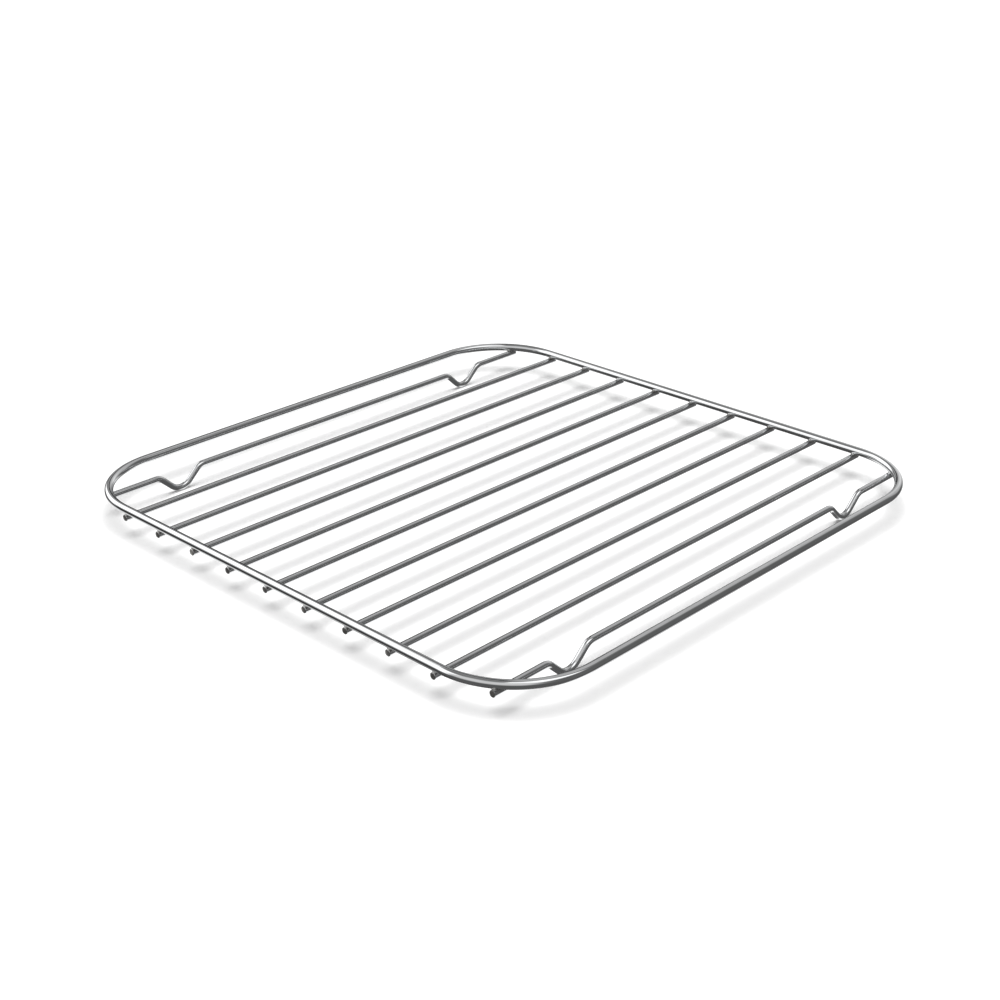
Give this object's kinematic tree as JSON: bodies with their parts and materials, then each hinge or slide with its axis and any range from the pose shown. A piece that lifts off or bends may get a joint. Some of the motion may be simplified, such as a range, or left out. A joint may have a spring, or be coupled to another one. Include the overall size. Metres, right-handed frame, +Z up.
{
  "type": "grill grate",
  "caption": "Square wire grill grate with rounded corners, parallel welded bars and feet bent from the outer bars.",
  "frame": {"origin": "on the surface that the feet stand on, below the middle of the rim", "axes": "+Z up, through the flat grate; +Y along the bars; +X across the bars"},
  "size_m": [0.289, 0.2907, 0.015],
  "materials": {
    "rim_chrome": "bright chrome plating on drawn steel wire",
    "bar_chrome": "bright chrome plating on thinner drawn steel wire"
  },
  "bodies": {
    "root": {"rim_wire": "rim_chrome", "foot_bar_left": "bar_chrome", "foot_bar_right": "bar_chrome", "cross_bar_1": "bar_chrome", "cross_bar_2": "bar_chrome", "cross_bar_3": "bar_chrome", "cross_bar_4": "bar_chrome", "cross_bar_5": "bar_chrome", "cross_bar_6": "bar_chrome", "cross_bar_7": "bar_chrome", "cross_bar_8": "bar_chrome", "cross_bar_9": "bar_chrome"}
  },
  "joints": []
}
